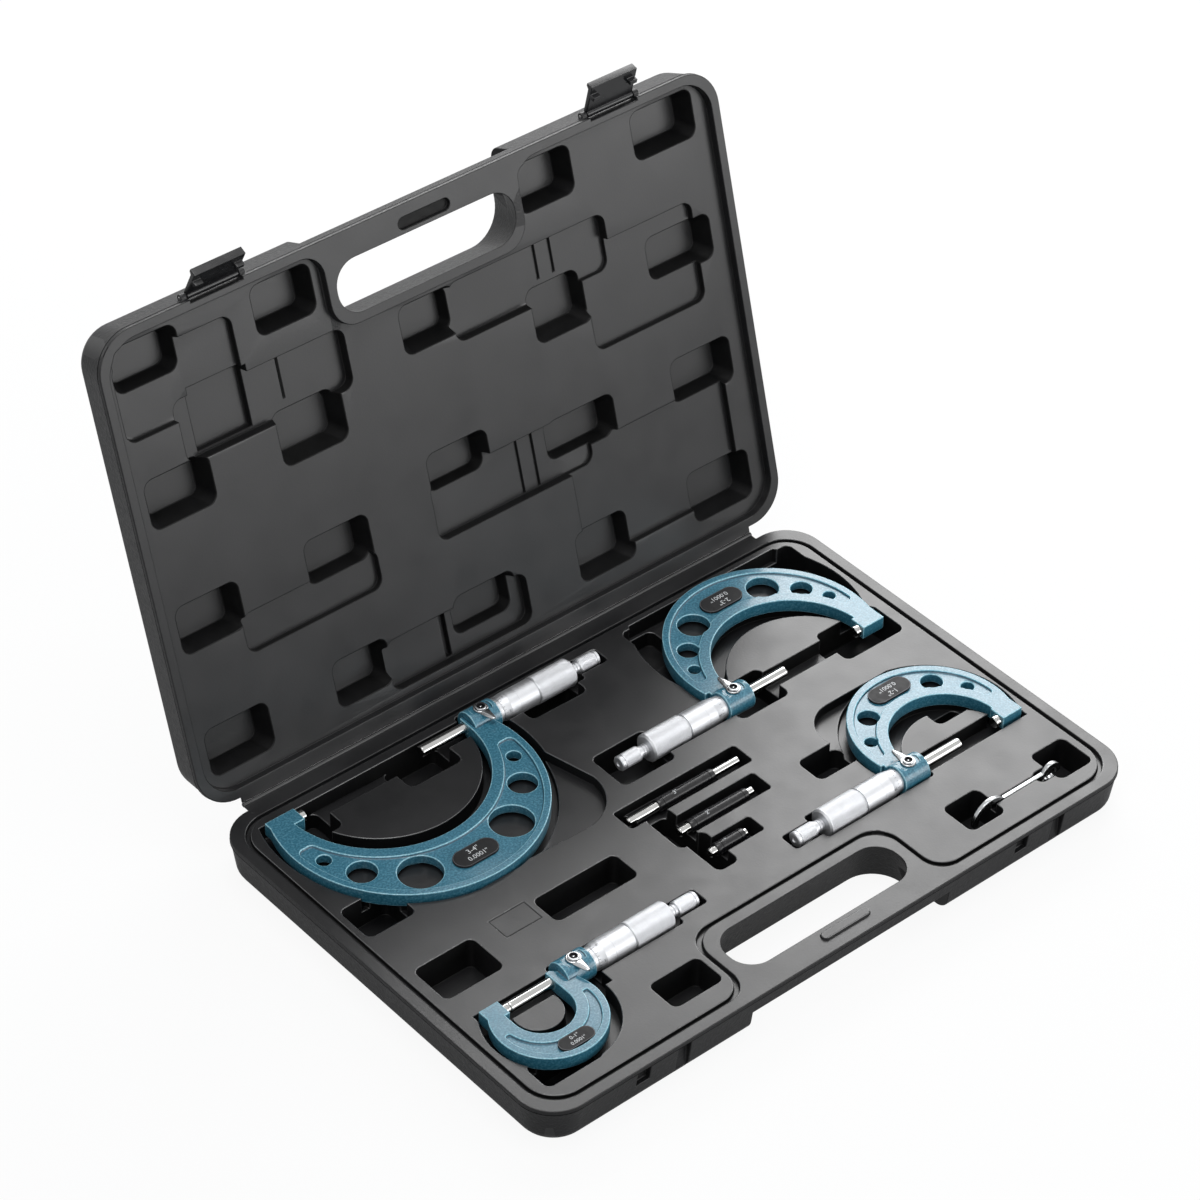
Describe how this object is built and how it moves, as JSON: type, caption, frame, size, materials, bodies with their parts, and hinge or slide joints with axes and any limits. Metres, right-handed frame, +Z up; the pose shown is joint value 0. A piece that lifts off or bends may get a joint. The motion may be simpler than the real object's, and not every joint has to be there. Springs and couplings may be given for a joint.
{
  "type": "micrometer case",
  "caption": "Moulded plastic carrying case, open, with outside micrometers, setting standards and a spanner in fitted nests.",
  "frame": {"origin": "centre of the flat bottom of the lower half", "axes": "+X along the crease hinge, to the right as seen from the handle side; +Y from the handle towards the hinge; +Z up"},
  "size_m": [0.4, 0.3686, 0.3061],
  "materials": {
    "case_plastic": "fine grain, satin",
    "latch_plastic": "smooth",
    "frame_paint": "hammered enamel",
    "plate_black": "smooth",
    "satin_chrome": "satin chrome",
    "bright_steel": "ground and polished",
    "steel_pin": "drawn",
    "grip_black": "smooth moulded"
  },
  "bodies": {
    "case_base": {"base_shell": "case_plastic"},
    "lid": {"lid_shell": "case_plastic", "latch_pin_left": "steel_pin", "latch_pin_right": "steel_pin"},
    "latch_left": {"latch_left": "latch_plastic"},
    "latch_right": {"latch_right": "latch_plastic"},
    "micrometer_3_to_4": {"micrometer_3_to_4_frame": "frame_paint", "micrometer_3_to_4_plate": "plate_black", "micrometer_3_to_4_anvil": "bright_steel", "micrometer_3_to_4_sleeve": "satin_chrome", "micrometer_3_to_4_adjusting_nut": "satin_chrome", "micrometer_3_to_4_lock_screw": "bright_steel"},
    "micrometer_3_to_4_spindle_body": {"micrometer_3_to_4_spindle": "bright_steel"},
    "micrometer_3_to_4_thimble_body": {"micrometer_3_to_4_thimble": "satin_chrome"},
    "micrometer_3_to_4_ratchet_body": {"micrometer_3_to_4_ratchet": "satin_chrome"},
    "micrometer_3_to_4_lock_body": {"micrometer_3_to_4_lock_lever": "bright_steel"},
    "micrometer_2_to_3": {"micrometer_2_to_3_frame": "frame_paint", "micrometer_2_to_3_plate": "plate_black", "micrometer_2_to_3_anvil": "bright_steel", "micrometer_2_to_3_sleeve": "satin_chrome", "micrometer_2_to_3_adjusting_nut": "satin_chrome", "micrometer_2_to_3_lock_screw": "bright_steel"},
    "micrometer_2_to_3_spindle_body": {"micrometer_2_to_3_spindle": "bright_steel"},
    "micrometer_2_to_3_thimble_body": {"micrometer_2_to_3_thimble": "satin_chrome"},
    "micrometer_2_to_3_ratchet_body": {"micrometer_2_to_3_ratchet": "satin_chrome"},
    "micrometer_2_to_3_lock_body": {"micrometer_2_to_3_lock_lever": "bright_steel"},
    "micrometer_1_to_2": {"micrometer_1_to_2_frame": "frame_paint", "micrometer_1_to_2_plate": "plate_black", "micrometer_1_to_2_anvil": "bright_steel", "micrometer_1_to_2_sleeve": "satin_chrome", "micrometer_1_to_2_adjusting_nut": "satin_chrome", "micrometer_1_to_2_lock_screw": "bright_steel"},
    "micrometer_1_to_2_spindle_body": {"micrometer_1_to_2_spindle": "bright_steel"},
    "micrometer_1_to_2_thimble_body": {"micrometer_1_to_2_thimble": "satin_chrome"},
    "micrometer_1_to_2_ratchet_body": {"micrometer_1_to_2_ratchet": "satin_chrome"},
    "micrometer_1_to_2_lock_body": {"micrometer_1_to_2_lock_lever": "bright_steel"},
    "micrometer_0_to_1": {"micrometer_0_to_1_frame": "frame_paint", "micrometer_0_to_1_plate": "plate_black", "micrometer_0_to_1_anvil": "bright_steel", "micrometer_0_to_1_sleeve": "satin_chrome", "micrometer_0_to_1_adjusting_nut": "satin_chrome", "micrometer_0_to_1_lock_screw": "bright_steel"},
    "micrometer_0_to_1_spindle_body": {"micrometer_0_to_1_spindle": "bright_steel"},
    "micrometer_0_to_1_thimble_body": {"micrometer_0_to_1_thimble": "satin_chrome"},
    "micrometer_0_to_1_ratchet_body": {"micrometer_0_to_1_ratchet": "satin_chrome"},
    "micrometer_0_to_1_lock_body": {"micrometer_0_to_1_lock_lever": "bright_steel"},
    "standard_3": {"standard_3_rod": "bright_steel", "standard_3_grip": "grip_black"},
    "standard_2": {"standard_2_rod": "bright_steel", "standard_2_grip": "grip_black"},
    "standard_1": {"standard_1_rod": "bright_steel", "standard_1_grip": "grip_black"},
    "spanner": {"spanner": "bright_steel"}
  },
  "joints": [
    {"name": "lid_hinge", "type": "hinge", "parent": "case_base", "child": "lid", "pos_m": [0, 0.1383, 0.025], "axis": [-1, 0, 0], "range_deg": [-105.6, 0]},
    {"name": "latch_left_swing", "type": "hinge", "parent": "lid", "child": "latch_left", "pos_m": [-0.1255, 0.21605, 0.28673], "axis": [-1, 0, 0], "range_deg": [-48, 92]},
    {"name": "latch_right_swing", "type": "hinge", "parent": "lid", "child": "latch_right", "pos_m": [0.131, 0.21605, 0.28673], "axis": [-1, 0, 0], "range_deg": [-62, 78]},
    {"name": "micrometer_3_to_4_lift", "type": "slide", "parent": "case_base", "child": "micrometer_3_to_4", "axis": [0, 0, 1], "range_m": [0, 0.08]},
    {"name": "micrometer_3_to_4_travel", "type": "slide", "parent": "micrometer_3_to_4", "child": "micrometer_3_to_4_spindle_body", "axis": [1, 0, 0], "range_m": [0, 0.00317]},
    {"name": "micrometer_3_to_4_thimble_turn", "type": "hinge", "parent": "micrometer_3_to_4_spindle_body", "child": "micrometer_3_to_4_thimble_body", "pos_m": [-0.004, 0.1127, 0.025], "axis": [1, 0, 0], "range_deg": [0, 1800]},
    {"name": "micrometer_3_to_4_ratchet_turn", "type": "hinge", "parent": "micrometer_3_to_4_thimble_body", "child": "micrometer_3_to_4_ratchet_body", "pos_m": [0.0305, 0.1127, 0.025], "axis": [1, 0, 0], "continuous": true},
    {"name": "micrometer_3_to_4_lock_swing", "type": "hinge", "parent": "micrometer_3_to_4", "child": "micrometer_3_to_4_lock_body", "pos_m": [-0.0405, 0.1127, 0.0332], "axis": [0, 0, 1], "range_deg": [-35, 35]},
    {"name": "micrometer_2_to_3_lift", "type": "slide", "parent": "case_base", "child": "micrometer_2_to_3", "axis": [0, 0, 1], "range_m": [0, 0.08]},
    {"name": "micrometer_2_to_3_travel", "type": "slide", "parent": "micrometer_2_to_3", "child": "micrometer_2_to_3_spindle_body", "axis": [-1, 0, 0], "range_m": [0, 0.00317]},
    {"name": "micrometer_2_to_3_thimble_turn", "type": "hinge", "parent": "micrometer_2_to_3_spindle_body", "child": "micrometer_2_to_3_thimble_body", "pos_m": [0.0359, 0.0395, 0.025], "axis": [-1, 0, 0], "range_deg": [0, 1800]},
    {"name": "micrometer_2_to_3_ratchet_turn", "type": "hinge", "parent": "micrometer_2_to_3_thimble_body", "child": "micrometer_2_to_3_ratchet_body", "pos_m": [0.0014, 0.0395, 0.025], "axis": [-1, 0, 0], "continuous": true},
    {"name": "micrometer_2_to_3_lock_swing", "type": "hinge", "parent": "micrometer_2_to_3", "child": "micrometer_2_to_3_lock_body", "pos_m": [0.0724, 0.0395, 0.0332], "axis": [0, 0, 1], "range_deg": [-35, 35]},
    {"name": "micrometer_1_to_2_lift", "type": "slide", "parent": "case_base", "child": "micrometer_1_to_2", "axis": [0, 0, 1], "range_m": [0, 0.08]},
    {"name": "micrometer_1_to_2_travel", "type": "slide", "parent": "micrometer_1_to_2", "child": "micrometer_1_to_2_spindle_body", "axis": [-1, 0, 0], "range_m": [0, 0.00317]},
    {"name": "micrometer_1_to_2_thimble_turn", "type": "hinge", "parent": "micrometer_1_to_2_spindle_body", "child": "micrometer_1_to_2_thimble_body", "pos_m": [0.0675, -0.0615, 0.025], "axis": [-1, 0, 0], "range_deg": [0, 1800]},
    {"name": "micrometer_1_to_2_ratchet_turn", "type": "hinge", "parent": "micrometer_1_to_2_thimble_body", "child": "micrometer_1_to_2_ratchet_body", "pos_m": [0.033, -0.0615, 0.025], "axis": [-1, 0, 0], "continuous": true},
    {"name": "micrometer_1_to_2_lock_swing", "type": "hinge", "parent": "micrometer_1_to_2", "child": "micrometer_1_to_2_lock_body", "pos_m": [0.104, -0.0615, 0.0332], "axis": [0, 0, 1], "range_deg": [-35, 35]},
    {"name": "micrometer_0_to_1_lift", "type": "slide", "parent": "case_base", "child": "micrometer_0_to_1", "axis": [0, 0, 1], "range_m": [0, 0.08]},
    {"name": "micrometer_0_to_1_travel", "type": "slide", "parent": "micrometer_0_to_1", "child": "micrometer_0_to_1_spindle_body", "axis": [1, 0, 0], "range_m": [0, 0.00317]},
    {"name": "micrometer_0_to_1_thimble_turn", "type": "hinge", "parent": "micrometer_0_to_1_spindle_body", "child": "micrometer_0_to_1_thimble_body", "pos_m": [-0.0866, -0.0612, 0.025], "axis": [1, 0, 0], "range_deg": [0, 1800]},
    {"name": "micrometer_0_to_1_ratchet_turn", "type": "hinge", "parent": "micrometer_0_to_1_thimble_body", "child": "micrometer_0_to_1_ratchet_body", "pos_m": [-0.0521, -0.0612, 0.025], "axis": [1, 0, 0], "continuous": true},
    {"name": "micrometer_0_to_1_lock_swing", "type": "hinge", "parent": "micrometer_0_to_1", "child": "micrometer_0_to_1_lock_body", "pos_m": [-0.1231, -0.0612, 0.0332], "axis": [0, 0, 1], "range_deg": [-35, 35]},
    {"name": "standard_3_lift", "type": "slide", "parent": "case_base", "child": "standard_3", "axis": [0, 0, 1], "range_m": [0, 0.06]},
    {"name": "standard_2_lift", "type": "slide", "parent": "case_base", "child": "standard_2", "axis": [0, 0, 1], "range_m": [0, 0.06]},
    {"name": "standard_1_lift", "type": "slide", "parent": "case_base", "child": "standard_1", "axis": [0, 0, 1], "range_m": [0, 0.06]},
    {"name": "spanner_lift", "type": "slide", "parent": "case_base", "child": "spanner", "axis": [0, 0, 1], "range_m": [0, 0.06]}
  ],
  "couplings": [
    {"joint": "micrometer_3_to_4_thimble_turn", "follows": "micrometer_3_to_4_travel", "rad_per_m": 9894.8},
    {"joint": "micrometer_2_to_3_thimble_turn", "follows": "micrometer_2_to_3_travel", "rad_per_m": 9894.8},
    {"joint": "micrometer_1_to_2_thimble_turn", "follows": "micrometer_1_to_2_travel", "rad_per_m": 9894.8},
    {"joint": "micrometer_0_to_1_thimble_turn", "follows": "micrometer_0_to_1_travel", "rad_per_m": 9894.8}
  ]
}
